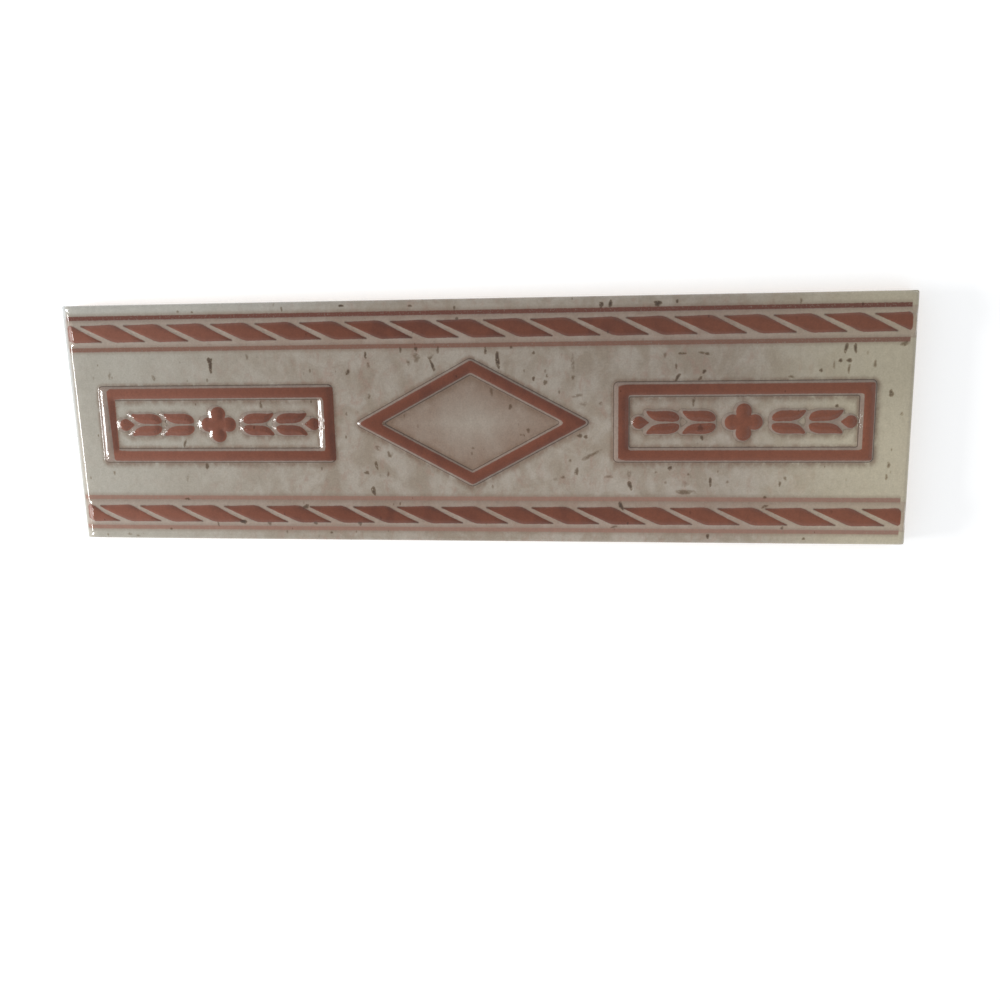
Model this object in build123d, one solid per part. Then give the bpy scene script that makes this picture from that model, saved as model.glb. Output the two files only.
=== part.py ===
from build123d import *
import math
import os

# Glazed ceramic border tile, lying on its back: +X along its length, +Y across
# it, +Z out of the glazed face. The origin is the centre of its footprint.
# All sizes are millimetres.

# Body
tile_length = 250.0
tile_width = 72.0
field_height = 7.5
edge_radius = 1.7
corner_radius = 0.8

# Back: a grid of shallow keying pockets between flat ribs
pocket_depth = 0.8
pocket_columns = 14
pocket_rows = 4
rib_width = 2.6
back_margin = 5.0

# Rope beads: one arched bar along each long edge
bead_offset = 27.7
bead_width = 8.4
bead_height = 0.85
bead_length = 248.6

# Strands: slanted lozenges in relief on both beads, leaning the same way
strand_pitch = 13.65
strand_gap = 3.3
strand_width = 6.1
strand_arch_width = 9.6
strand_arch_height = 1.5
strand_lean = 2.08
strand_corner = 2.0
strand_flank = 32.0
gap_phase = 7.35

# Raised mouldings: a rectangular frame each side of a rhombus
moulding_height = 0.9
moulding_flank = 42.0
frame_centre = 78.6
frame_length = 73.4
frame_width = 23.5
frame_moulding = 4.45
frame_corner = 1.2
rhombus_length = 71.4
rhombus_width = 38.8
rhombus_inner_length = 53.2
rhombus_corner = 1.0

# Ornaments inside each frame: quatrefoil, leaf pairs and end buds
ornament_height = 0.8
ornament_flank = 35.0
foil_radius = 2.9
foil_reach = 3.1
leaf_starts = (7.4, 17.7)
bud_centre = 29.7
bud_radius = 2.2
bud_point = 26.4
bud_point_radius = 0.4

ornament_inset = ornament_height * math.tan(math.radians(ornament_flank))

# Depth that a raised form runs down into the body, so that they are one solid
root = 1.0


def slab():
    """Body with rounded glazed edges and a keyed back."""
    block = Box(tile_length, tile_width, field_height, align=(Align.CENTER, Align.CENTER, Align.MIN))
    block = fillet(block.edges().filter_by(Axis.Z), corner_radius)
    block = fillet(block.faces().sort_by(Axis.Z)[-1].edges(), edge_radius)
    pitch_x = (tile_length - 2 * back_margin + rib_width) / pocket_columns
    pitch_y = (tile_width - 2 * back_margin + rib_width) / pocket_rows
    pocket = Rectangle(pitch_x - rib_width, pitch_y - rib_width)
    places = GridLocations(pitch_x, pitch_y, pocket_columns, pocket_rows)
    return block - extrude(Sketch() + [place * pocket for place in places], amount=pocket_depth)


def arched_bar(width, height):
    """Bar of arched section along X, with ends that slope down to the field."""
    outline = Line((width / 2, 0), (width / 2, -root))
    outline += Line((width / 2, -root), (-width / 2, -root))
    outline += Line((-width / 2, -root), (-width / 2, 0))
    outline += ThreePointArc((-width / 2, 0), (0, height), (width / 2, 0))
    bar = extrude(Plane.YZ * make_face(outline), amount=bead_length / 2, both=True)
    slope = math.tan(math.radians(moulding_flank))
    ends = Rectangle(bead_length + 2 * root * slope, width + 4 * root)
    return bar & Pos(0, 0, -root) * extrude(ends, amount=2 * root + height, taper=moulding_flank)


def strand_outline(start):
    """Lozenge with sharp acute corners and rounded obtuse ones."""
    half = strand_width / 2
    run = strand_lean * strand_width
    top = strand_pitch - strand_gap
    corners = [(start + run, -half), (start + run + top, -half), (start + top, half), (start, half)]
    lozenge = Polygon(*corners, align=None)
    blunt = lozenge.vertices().sort_by(Axis.X)[1:3]
    return fillet(blunt, strand_corner)


def rope():
    """One bead with its strands, centred on the X axis at field level."""
    run = strand_lean * strand_width
    count = math.ceil((bead_length + run) / strand_pitch) + 1
    first = gap_phase - strand_pitch * (count // 2) + strand_gap / 2 - run / 2
    lozenges = [strand_outline(first + strand_pitch * number) for number in range(count)]
    tall = extrude(Sketch() + lozenges, amount=strand_arch_height + root, taper=strand_flank)
    return arched_bar(bead_width, bead_height) + (tall & arched_bar(strand_arch_width, strand_arch_height))


def moulding(outer, inner):
    """Flat-topped band between two outlines, with sloping flanks."""
    raised = extrude(outer, amount=moulding_height, taper=moulding_flank)
    return raised - extrude(inner, amount=moulding_height, taper=-moulding_flank)


def frame():
    outer = RectangleRounded(frame_length, frame_width, frame_corner)
    inner = Rectangle(frame_length - 2 * frame_moulding, frame_width - 2 * frame_moulding)
    return moulding(outer, inner)


def rhombus_outline(length):
    half = length / 2
    rise = half * rhombus_width / rhombus_length
    return Polygon((half, 0), (0, rise), (-half, 0), (0, -rise), align=None)


def rhombus():
    outer = rhombus_outline(rhombus_length)
    outer = fillet(outer.vertices(), rhombus_corner)
    return moulding(outer, rhombus_outline(rhombus_inner_length))


def pad(outline):
    return extrude(outline, amount=ornament_height, taper=ornament_flank)


def quatrefoil():
    base = (Align.CENTER, Align.CENTER, Align.MIN)
    lobe = Cone(foil_radius, foil_radius - ornament_inset, ornament_height, align=base)
    lobes = [place * lobe for place in PolarLocations(foil_reach, 4)]
    return pad(Rectangle(2 * foil_reach, 2 * foil_reach)) + lobes


def leaf(start):
    """Leaf right of the centre and above the axis: blunt towards the centre."""
    tip = (start + 10.2, 4.15)
    upper_edge = [(start + 4.6, 3.9), (start + 0.9, 3.3)]
    lower_edge = [(start + 1.3, 0.25), (start + 5.6, 0.35)]
    edge = Spline(tip, *upper_edge, (start, 1.5), *lower_edge, tip)
    return pad(make_face(edge))


def bud_outline(inset):
    ball = Pos(bud_centre, 0) * Circle(bud_radius - inset)
    point = Pos(bud_point + inset, 0) * Circle(bud_point_radius)
    return make_hull(ball.edges() + point.edges())


def bud():
    """Drop with its point towards the leaves."""
    return loft([bud_outline(0), Pos(0, 0, ornament_height) * bud_outline(ornament_inset)], ruled=True)


def spray():
    """Everything inside a frame, the half right of its centre mirrored."""
    upper = [leaf(start) for start in leaf_starts]
    right = upper + [mirror(piece, Plane.XZ) for piece in upper] + [bud()]
    left = [mirror(piece, Plane.YZ) for piece in right]
    return [quatrefoil()] + right + left


def border_tile():
    field = Pos(0, 0, field_height)
    tile = slab()
    for side in (-1, 1):
        tile += field * Pos(0, side * bead_offset) * rope()
        tile += field * Pos(side * frame_centre, 0) * frame()
        tile += [field * Pos(side * frame_centre, 0) * piece for piece in spray()]
    return tile + field * rhombus()


os.makedirs("parts", exist_ok=True)
tile = border_tile()
print("border_tile", len(tile.solids()), "solid", round(tile.volume / 1000, 1), "cm3")
export_step(tile, "parts/border_tile.step")
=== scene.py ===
# Border tile: one pressed, decorated, glazed and fired piece of ceramic, lying on its back.
# Lengths in the dictionaries are millimetres, seen from above with +Y up.
import math
from functools import partial
import bpy
import numpy as np
from mathutils import Euler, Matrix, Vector
from mathutils.geometry import delaunay_2d_cdt


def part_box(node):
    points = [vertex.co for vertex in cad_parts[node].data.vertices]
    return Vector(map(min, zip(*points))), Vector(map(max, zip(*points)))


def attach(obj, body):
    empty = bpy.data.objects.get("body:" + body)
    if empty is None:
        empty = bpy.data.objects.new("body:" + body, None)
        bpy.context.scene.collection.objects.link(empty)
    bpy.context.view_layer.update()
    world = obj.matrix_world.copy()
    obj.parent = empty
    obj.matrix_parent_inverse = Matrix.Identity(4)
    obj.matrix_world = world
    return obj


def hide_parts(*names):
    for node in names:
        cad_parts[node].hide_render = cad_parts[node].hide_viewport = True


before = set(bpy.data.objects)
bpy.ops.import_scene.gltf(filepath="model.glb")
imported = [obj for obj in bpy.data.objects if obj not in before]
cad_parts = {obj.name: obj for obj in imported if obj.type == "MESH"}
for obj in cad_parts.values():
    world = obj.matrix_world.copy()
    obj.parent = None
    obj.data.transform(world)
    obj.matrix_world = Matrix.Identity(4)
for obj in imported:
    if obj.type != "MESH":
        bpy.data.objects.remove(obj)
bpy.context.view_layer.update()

mm = 0.001
scene = bpy.context.scene
lowCorner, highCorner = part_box("border_tile")

tile = {
    "halfLength": (highCorner.x - lowCorner.x) / 2 / mm,
    "halfWidth": (highCorner.y - lowCorner.y) / 2 / mm,
    "fieldHeight": highCorner.z / mm - 1.5,  # the strands' crests stand 1.5 above the field
    "cornerRadius": 0.6,
    "edgeDrop": 2.4,  # from the field down to the top of the sides
    "edgeRadius": 1.3,
    "edgeRings": (
        0, 0.03, 0.1, 0.2, 0.33, 0.48, 0.65, 0.85, 1.05, 1.3, 1.6, 1.85, 2.0, 2.15, 2.3, 2.5, 2.9),
    "bevel": (2.6, 0.55, 0.16, 0.5),  # worn left end: width, slope, softness and radius of its edge
    "skew": 0.016,  # how much the left end leans in towards -Y
    "skewReach": (-115.5, -121.0),  # where that begins and is full
    "cornerPoints": 7,
    "runPoints": (125, 36),
    "fieldStep": 4.0,
}

# Rope: an arched bead along each long edge, with slanted lozenges as its strands
rope = {
    "offset": 27.56,
    "beadWidth": 8.6,
    "beadArch": 1.08,
    "beadFoot": 0.7,
    "pitches": (13.55, 13.61),  # lower and upper rope
    "phases": (0.5, 0.65),
    "strandWidth": 5.5,
    "tips": ((-10.5, 2.38), (10.3, -2.58)),  # the two sharp corners
    "bluntPlace": 0.28,
    "bluntRadius": 5.6,
    "tipRadius": 0.15,
    "spread": 0.45,  # how far the relief reaches past the printed colour
    "flank": 1.2,
    "steepness": 0.5,
    "tipFade": 1.0,  # how much the relief sinks towards the sharp tips
    "endGaps": (2.1, 0.1),  # left and right
    "endRuns": (2.2, 1.0),
    "printEnds": (-123.2, 123.1),
    "printEndRadius": 1.3,
    "stations": (-0.89, -0.55, -0.3, -0.15, 0, 0.14, 0.3, 0.5, 0.8, 1.2, 2.0),  # insets with rows of points
    "edgeLimit": 0.25,  # how far the strands' points stay from the tile's edge
    "rows": (3.2, 3.5, 3.75, 4.0, 4.15, 4.3, 4.7),  # rows of points beside a bead's middle
    "rowPoints": 240,
    "rowGap": 0.6,
    "endGrid": (24, 9),  # points across an end of a bead, and rows of them
}

# Mouldings: a rectangular frame each side of a rhombus
moulding = {
    "frameCentre": 78.2,
    "frameHalf": (36.57, 11.7),
    "frameCorner": 1.3,
    "innerCorner": 0.5,
    "rhombusHalf": (35.55, 19.1),
    "rhombusCorners": (1.1, 2.0),
    "bandWidth": (4.45, 4.35),
    "rhombusBand": 4.35,
    "spread": 0.4,
    "flank": 2.9,
    "steepness": 0.5,
    "stations": (
        -2.6, -1.4, -0.8, -0.5, -0.36, -0.24, -0.12, 0, 0.14, 0.3, 0.5, 0.75, 1.0, 1.3, 1.65, 2.0),
    "framePrint": ((35.75, 11.1), (32.75, 8.0)),  # outer and inner half sizes of the printed band
    "printTrim": ((1.5, 0.8), (0.0, 0.0)),  # how much narrower it is at the left, below and above
    "rhombusPrint": (0.62, 3.15),  # inset of the printed band and its width
    "printCorner": 0.5,
    "rhombusPrintCorners": (0.6, 1.0),
}

# Ornaments inside a frame: quatrefoil, leaf pairs and end buds
ornament = {
    "foilRadius": 2.25,
    "foilReach": 3.15,
    "foilSquare": 2.1,
    "leafStarts": (7.8, 18.1),
    "budCentre": 29.65,
    "budRadius": 1.85,
    "budReach": 2.6,
    "budTip": 0.25,
    "spread": 0.8,
    "blend": 0.6,  # how softly neighbouring forms run together
    "flank": 2.9,
    "steepness": 0.45,
    "stations": (-2.4, -1.6, -1.1, -0.75, -0.45, -0.22, 0, 0.22, 0.45, 0.7, 1.0, 1.4, 1.9),
}

# A leaf right of the centre and above the axis: its blunt end, the edge by the stem, its tip and its far edge
leafCurve = [
    (0.0, 1.35), (0.3, 0.5), (1.5, 0.17), (3.6, 0.25), (5.8, 0.35), (7.6, 0.9), (8.7, 1.85),
    (9.45, 2.95), (9.1, 3.42), (7.4, 3.3), (4.6, 3.38), (2.3, 3.25), (0.65, 2.5),
]

# The print lies a little right of the relief, most on the left frame
printShift = {
    "frames": ((1.1, -0.12), (0.5, -0.12)),
    "rhombus": (0.12, 0.0),
    "ornaments": ((0.85, -0.1), (0.35, -0.1)),
    # painted shadow: shifted below and right of the mouldings and ornaments
    "shade": (0.25, -0.6),
}

# Pits and stains of the printed stone: x, y, half length, half width, turn from +Y, strength
pits = [
    (-78.9, 19.2, 0.8, 0.75, 0, 1.0), (-78.7, 17.3, 2.0, 0.45, -3, 0.95), (-87.6, 33.7, 0.3, 0.3, 0, 0.6),
    (-83.2, 33.5, 0.3, 0.25, 0, 0.6), (-67.2, 20.1, 0.9, 0.35, 10, 0.35), (-110.9, 14.9, 1.2, 0.4, -10, 0.3),
    (-96.9, 14.1, 0.9, 0.45, 20, 0.4), (-112.2, -15.0, 0.7, 0.3, 0, 0.4), (-82.1, -12.9, 0.9, 0.45, 0, 0.7),
    (-88.6, -5.9, 1.2, 0.3, -20, 0.65), (-63.8, 5.7, 1.1, 0.35, 5, 0.55), (-88.6, -16.6, 1.2, 0.3, -15, 0.3),
    (-89.2, -23.2, 0.35, 0.8, -10, 0.65), (-71.4, -30.1, 0.6, 1.1, 0, 0.9), (-79.7, -30.9, 0.8, 0.25, 0, 0.5),
    (-63.2, -30.6, 0.7, 0.6, 0, 0.45), (-95.3, -32.7, 0.3, 0.3, 0, 0.55), (-109.0, -34.4, 0.4, 0.7, 0, 0.35),
    (-106.4, -34.9, 0.4, 0.5, 0, 0.35), (-55.7, 34.0, 0.7, 0.22, 10, 0.6), (-37.7, 34.6, 0.3, 0.75, 0, 0.95),
    (-17.2, 34.2, 0.3, 0.55, 0, 0.65), (-4.2, 33.4, 0.6, 0.22, 0, 0.65), (-31.0, 20.1, 1.1, 0.3, 8, 0.85),
    (-30.4, 17.4, 0.8, 0.3, -5, 0.4), (-36.6, 15.3, 0.9, 0.45, -25, 0.75), (-20.5, 21.6, 0.8, 0.25, 0, 0.55),
    (-15.9, 21.8, 0.6, 0.4, 0, 0.75), (-15.8, 19.3, 1.5, 1.0, 0, 0.4), (-18.3, 17.8, 0.8, 0.45, 15, 0.4),
    (-9.4, 21.4, 1.1, 0.3, -5, 0.6), (-11.1, 16.9, 1.7, 0.34, 22, 0.9), (-3.5, 30.4, 0.35, 0.45, 0, 0.75),
    (-37.6, 2.9, 0.5, 0.25, 0, 0.45), (-30.4, 8.1, 0.8, 0.35, -8, 0.4), (-29.1, -12.6, 1.3, 0.35, 12, 0.65),
    (-32.1, -14.9, 0.45, 0.8, 0, 0.6), (-25.6, -15.3, 0.9, 0.3, -10, 0.4), (-30.3, -20.4, 1.3, 0.6, 10, 0.8),
    (-25.0, -9.4, 1.1, 0.45, 25, 0.5), (-28.4, -7.4, 0.9, 0.7, 30, 0.35), (0.3, -7.5, 0.3, 0.4, 0, 0.35),
    (-44.0, -33.5, 0.3, 0.35, 0, 0.55), (-48.6, -30.4, 0.5, 0.6, 0, 0.65), (-51.3, -25.2, 0.6, 0.9, 20, 0.7),
    (-34.8, -30.5, 0.7, 0.55, 0, 0.55), (4.6, 21.0, 1.0, 0.35, 5, 0.65), (8.1, 18.3, 2.6, 0.5, 6, 1.0),
    (12.1, 21.9, 0.35, 0.3, 0, 0.6), (18.6, 20.3, 0.4, 0.35, 0, 0.6), (18.5, 12.8, 0.65, 0.28, -8, 0.75),
    (21.9, 11.7, 0.7, 0.55, -20, 0.55), (22.4, 13.6, 0.4, 0.2, 0, 0.55), (29.9, 17.2, 2.6, 0.5, 4, 0.3),
    (30.0, 13.1, 0.6, 0.45, -20, 0.45), (31.2, 7.8, 0.45, 1.8, 12, 0.35), (33.0, 5.4, 0.6, 1.2, 0, 0.28),
    (37.9, 5.5, 0.5, 0.5, 0, 0.35), (6.1, 9.2, 1.4, 0.45, 8, 0.35), (11.6, 4.7, 0.8, 0.45, -15, 0.5),
    (16.8, -2.3, 0.7, 0.45, 10, 0.5), (14.9, -3.5, 0.3, 0.6, 0, 0.4), (31.9, -3.9, 0.5, 0.7, 0, 0.6),
    (33.6, -4.2, 0.5, 0.5, 0, 0.65), (34.9, -9.8, 3.1, 0.55, -62, 0.42), (29.0, -11.2, 0.4, 0.4, 0, 0.4),
    (30.9, -14.5, 1.1, 0.55, -10, 0.6), (26.9, -16.2, 0.4, 0.6, 0, 0.45), (24.7, -16.8, 0.5, 0.7, 0, 0.25),
    (40.3, -16.0, 0.4, 1.3, 0, 0.35), (46.2, -15.3, 1.4, 0.6, 0, 0.3), (46.5, -18.6, 1.4, 0.5, 20, 0.8),
    (54.0, -14.7, 0.3, 0.35, 0, 0.4), (56.8, -17.7, 0.35, 0.3, 0, 0.4), (38.0, 33.6, 0.8, 0.55, 0, 0.9),
    (40.6, 33.8, 0.95, 0.45, -10, 0.95), (53.9, 33.7, 0.75, 1.05, 0, 0.9), (56.1, 19.2, 0.7, 0.4, 0, 0.35),
    (43.9, -24.6, 1.3, 0.5, 25, 0.95), (58.0, -13.5, 0.6, 0.5, 0, 0.85), (42.0, -31.0, 0.4, 1.2, 15, 0.45),
    (60.9, 19.6, 0.22, 1.1, 0, 0.65), (66.8, 19.6, 0.25, 1.5, -12, 0.5), (68.0, 19.4, 0.35, 0.45, 0, 0.7),
    (59.3, 16.0, 0.75, 0.22, 0, 0.55), (67.2, 14.4, 0.6, 0.35, -35, 0.8), (59.8, 12.9, 1.3, 0.35, -30, 0.8),
    (66.1, 12.5, 0.8, 0.3, -45, 0.6), (91.4, 12.7, 0.35, 0.8, -15, 0.45), (64.4, 5.8, 1.3, 0.3, -8, 0.55),
    (104.2, 4.4, 0.4, 0.4, 0, 0.75), (66.3, -1.8, 1.1, 1.0, 0, 0.35), (66.9, -4.6, 0.7, 0.35, 20, 0.7),
    (106.0, 20.6, 1.4, 0.42, -14, 0.75), (108.5, 20.5, 1.3, 0.34, 5, 0.8), (104.6, 17.1, 0.45, 0.42, 0, 0.8),
    (107.0, 17.1, 0.5, 0.65, 0, 0.75), (107.0, 14.8, 1.3, 0.25, -5, 0.55), (99.4, 14.4, 0.45, 0.42, 0, 0.65),
    (102.9, 15.8, 1.1, 0.25, 0, 0.4), (114.0, 16.0, 1.1, 0.35, 0, 0.45), (118.8, 7.8, 1.0, 0.6, 10, 0.7),
    (121.6, 21.5, 0.6, 1.1, 15, 0.45), (122.0, 2.0, 0.4, 0.35, 0, 0.5), (119.2, -12.5, 0.9, 0.35, 0, 0.5),
    (118.8, -16.0, 0.9, 0.3, 0, 0.45), (63.3, -15.3, 0.3, 0.3, 0, 0.45), (69.6, -17.5, 1.4, 0.3, 3, 0.8),
    (74.5, -17.5, 0.4, 0.35, 0, 0.35), (89.3, -18.0, 0.8, 0.28, -5, 0.55), (90.7, -16.5, 0.7, 0.4, 15, 0.4),
    (62.3, -20.5, 0.7, 2.6, 0, 0.45), (62.3, -18.2, 0.9, 1.1, 0, 0.25), (85.2, -22.0, 0.3, 0.4, 0, 0.6),
    (90.3, -31.0, 0.5, 0.3, 0, 0.65), (69.2, -33.7, 0.65, 0.35, 0, 0.9), (96.6, -34.2, 0.35, 0.35, 0, 0.65),
    (85.2, -24.6, 0.35, 1.0, 20, 0.55), (59.3, 34.2, 0.55, 0.25, -10, 0.9), (93.2, 33.7, 0.8, 0.3, 0, 0.4),
]
pitRings = (0.45, 1.0)  # shares of a pit's outline that get a ring of points
pitFade = 0.33  # width of the soft edge round a pit

back = {
    "pocketDepth": 0.8,
    "columns": 14,
    "rows": 4,
    "rib": 2.6,
    "margin": 5.0,
    "pocketCorner": 1.2,
    "flank": 0.7,
    "stations": (0, 0.12, 0.28, 0.45, 0.7),
    "edgeRound": 0.6,
    "glazeEdge": 3.9,  # how far down the sides the glaze runs
    "glazeWave": 0.35,
    "glazeLip": 0.12,
}

outOfReach = -3.4  # inset given to every point that lies farther from a form


def refine(outline, step):  # adds points so that no run is longer than the step
    points = []
    for start, end in zip(outline, np.roll(outline, -1, axis=0)):
        count = max(1, math.ceil(np.linalg.norm(end - start) / step))
        points.extend(start + (end - start) * part / count for part in range(count))
    return np.array(points)


def arc(centre, radius, start, end, count):
    angles = np.linspace(start, end, count)
    return np.array(centre) + radius * np.stack([np.cos(angles), np.sin(angles)], axis=1)


def roundedOutline(corners, radii, arcStep=0.3):  # corners run anticlockwise
    corners = np.array(corners, float)
    pieces = []
    for index, radius in enumerate(radii):
        corner = corners[index]
        before = corners[index - 1] - corner
        after = corners[(index + 1) % len(corners)] - corner
        before /= np.linalg.norm(before)
        after /= np.linalg.norm(after)
        half = 0.5 * math.acos(before @ after)
        middle = (before + after) / np.linalg.norm(before + after)
        centre = corner + middle * radius / math.sin(half)
        entry = corner + before * radius / math.tan(half) - centre
        start = math.atan2(entry[1], entry[0])
        sweep = math.pi - 2 * half
        count = max(3, math.ceil(sweep * radius / arcStep) + 1)
        pieces.append(arc(centre, radius, start, start + sweep, count))
    return np.concatenate(pieces)


def rectangleOutline(half, radius, arcStep=0.3):
    x, y = half
    return roundedOutline([(-x, -y), (x, -y), (x, y), (-x, y)], [radius] * 4, arcStep)


def rhombusOutline(inset, radii):
    x, y = moulding["rhombusHalf"]
    share = 1 - inset * math.hypot(x, y) / (x * y)
    x, y = x * share, y * share
    return roundedOutline([(-x, 0), (0, -y), (x, 0), (0, y)], radii * 2)


def smoothOutline(knots, samples):  # closed Catmull-Rom curve
    knots = np.array(knots, float)
    points = []
    for index in range(len(knots)):
        a, b, c, d = (knots[(index + offset) % len(knots)] for offset in (-1, 0, 1, 2))
        for t in np.arange(samples) / samples:
            curve = (2 * a - 5 * b + 4 * c - d) * t**2 + (3 * b - a - 3 * c + d) * t**3
            points.append(0.5 * (2 * b + (c - a) * t + curve))
    return np.array(points)


def signedInset(points, outline):  # distance inside a closed outline, negative outside it
    run = np.roll(outline, -1, axis=0) - outline
    ends = outline + run
    result = np.empty(len(points))
    for first in range(0, len(points), 4000):
        part = points[first:first + 4000, None, :]
        along = np.clip(((part - outline) * run).sum(axis=2) / (run**2).sum(axis=1), 0, 1)
        gap = part - outline - along[..., None] * run
        distance = np.sqrt((gap**2).sum(axis=2).min(axis=1))
        x, y = part[..., 0], part[..., 1]
        slope = np.where(np.abs(run[:, 1]) > 1e-12, run[:, 0] / np.where(run[:, 1] == 0, 1, run[:, 1]), 0)
        beside = (outline[:, 1] > y) != (ends[:, 1] > y)
        crosses = beside & (x < outline[:, 0] + (y - outline[:, 1]) * slope)
        result[first:first + 4000] = np.where(crosses.sum(axis=1) % 2 == 1, distance, -distance)
    return result


def strandOutline():  # one strand about its own middle
    half, (leftTip, rightTip) = rope["strandWidth"] / 2, rope["tips"]
    corners = [(rope["bluntPlace"], -half), rightTip, (rope["bluntPlace"], half), leftTip]
    blunt, tip = rope["bluntRadius"], rope["tipRadius"]
    return refine(roundedOutline(corners, [blunt, tip, blunt, tip], 0.2), 0.7)


def foilOutline():  # four lobes about a square, as the farthest of them in each direction
    angles = np.linspace(0, 2 * math.pi, 168, endpoint=False)
    reach = ornament["foilSquare"] / np.maximum(np.abs(np.cos(angles)), np.abs(np.sin(angles)))
    for quarter in range(4):
        along = ornament["foilReach"] * np.cos(angles - quarter * math.pi / 2)
        under = ornament["foilRadius"]**2 - ornament["foilReach"]**2 + along**2
        lobe = np.where((under > 0) & (along > 0), along + np.sqrt(np.maximum(under, 0)), 0)
        reach = np.maximum(reach, lobe)
    return reach[:, None] * np.stack([np.cos(angles), np.sin(angles)], axis=1)


def budOutline():  # drop whose point looks towards the centre
    big, small, reach = ornament["budRadius"], ornament["budTip"], ornament["budReach"]
    turn = math.pi - math.acos((big - small) / reach)
    body = arc((0, 0), big, -turn, turn, 30)
    point = arc((-reach, 0), small, turn, 2 * math.pi - turn, 6)
    return refine(np.concatenate([body, point]) + (ornament["budCentre"], 0), 0.4)


def mirrored(outline, acrossX=1, acrossY=1):  # keeps it anticlockwise
    flipped = outline * (acrossX, acrossY)
    return flipped if acrossX * acrossY > 0 else flipped[::-1]


def sprayOutlines():  # all ornaments of one frame, about its centre
    leaf = smoothOutline(leafCurve, 6)
    outlines = [foilOutline()]
    for side in (1, -1):
        outlines.append(mirrored(budOutline(), side))
        for start in ornament["leafStarts"]:
            for above in (1, -1):
                outlines.append(mirrored(leaf + (start, 0), side, above))
    return outlines


def strandPlaces():  # middles of the strands on both beads
    places = []
    for side, pitch, phase in zip((-1, 1), rope["pitches"], rope["phases"]):
        count = math.ceil(tile["halfLength"] / pitch) + 1
        places += [(phase + number * pitch, side * rope["offset"]) for number in range(-count, count + 1)]
    return places


def markForm(values, points, outline, place, reach=-outOfReach, blend=None):  # raises the values near a form
    low = outline.min(axis=0) + place - reach
    high = outline.max(axis=0) + place + reach
    near = ((points > low) & (points < high)).all(axis=1)
    inset = signedInset(points[near] - place, outline)
    values[near] = (np.maximum(values[near], inset) if blend is None else
                    blend * np.logaddexp(values[near] / blend, inset / blend))


def bandInset(points, outer, inner, place):
    return np.minimum(signedInset(points - place, outer), -signedInset(points - place, inner))


def tileInset(points):  # distance inside the tile's rounded rectangle
    corner = tile["cornerRadius"]
    reach = np.abs(points) - (tile["halfLength"] - corner, tile["halfWidth"] - corner)
    outside = np.linalg.norm(np.maximum(reach, 0), axis=1)
    return corner - outside - np.minimum(reach.max(axis=1), 0)


def pitOutline(length, width, turn):
    angles = np.linspace(0, 2 * math.pi, 14, endpoint=False)
    uneven = 0.9 + 0.16 * np.sin(3 * angles + 9 * length) + 0.12 * np.sin(5 * angles + 7 * width + turn)
    lean = math.radians(turn)
    across, along = width * np.cos(angles) * uneven, length * np.sin(angles) * uneven
    turned = np.array([[math.cos(lean), math.sin(lean)], [-math.sin(lean), math.cos(lean)]])
    return np.stack([across, along], axis=1) @ turned


def smooth(value):
    value = np.clip(value, 0, 1)
    return value * value * (3 - 2 * value)


def offsetLoop(outline, inset):  # parallel to an outline, without the points that come too near it
    tangent = np.roll(outline, -1, axis=0) - np.roll(outline, 1, axis=0)
    tangent /= np.linalg.norm(tangent, axis=1)[:, None]
    moved = outline - inset * np.stack([tangent[:, 1], -tangent[:, 0]], axis=1)
    kept = np.abs(signedInset(moved, outline) - inset) < 0.03 + 0.03 * abs(inset)
    return moved, kept


class Plan:  # points and joined runs that the triangles of one face follow
    def __init__(self):
        self.points, self.edges = [], []

    def add(self, points, closed=True, kept=None, gap=1.0):
        kept = np.ones(len(points), bool) if kept is None else kept
        chosen = np.flatnonzero(kept)
        base = len(self.points)
        self.points.extend(map(tuple, points[chosen]))
        for number in range(len(chosen) if closed else len(chosen) - 1):
            following = (number + 1) % len(chosen)
            step = np.linalg.norm(points[chosen[following]] - points[chosen[number]])
            neighbours = (chosen[number] + 1) % len(points) == chosen[following]
            if number != following and (neighbours or step < gap):
                self.edges.append((base + number, base + following))

    def addForm(self, outline, place, stations, limit=None):
        for station in stations:
            moved, kept = offsetLoop(outline, station)
            moved = moved + place
            if limit is not None:
                kept &= tileInset(moved) > limit
            if kept.sum() > 3:
                self.add(moved, kept=kept)

    def triangulate(self):
        points, edges, faces, origins = delaunay_2d_cdt(self.points, self.edges, [], 0, 1e-4, True)[:4]
        found = {source: index for index, sources in enumerate(origins) for source in sources}
        points = np.array([tuple(point) for point in points])
        faces = np.array(faces)
        a, b, c = (points[faces[:, corner]] for corner in range(3))
        area = np.cross(b - a, c - a)
        faces[area < 0] = faces[area < 0][:, ::-1]
        return points, faces[np.abs(area) > 1e-9], found


def tileLoop(inset):  # the tile's outline with the same number of points at every inset
    corner = max(tile["cornerRadius"] - inset, 0.08)
    x, y = tile["halfLength"] - inset - corner, tile["halfWidth"] - inset - corner
    pieces = []
    for quarter, (middleX, middleY) in enumerate([(x, -y), (x, y), (-x, y), (-x, -y)]):
        start = (quarter - 1) * math.pi / 2
        turned = arc((middleX, middleY), corner, start, start + math.pi / 2, tile["cornerPoints"])
        following = [(x, y), (-x, y), (-x, -y), (x, -y)][quarter]
        shift = corner * np.array([math.cos(start + math.pi / 2), math.sin(start + math.pi / 2)])
        run = np.linspace(turned[-1], np.array(following) + shift, tile["runPoints"][1 - quarter % 2] + 1)
        pieces += [turned, run[1:-1]]
    return np.concatenate(pieces)


def hexGrid(step):
    xs = np.arange(-tile["halfLength"], tile["halfLength"], step)
    ys = np.arange(-tile["halfWidth"], tile["halfWidth"], step * 0.87)
    grid = np.array([(x + (row % 2) * step / 2, y) for row, y in enumerate(ys) for x in xs])
    return grid[tileInset(grid) > tile["edgeRings"][-1] + 0.8]


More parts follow.
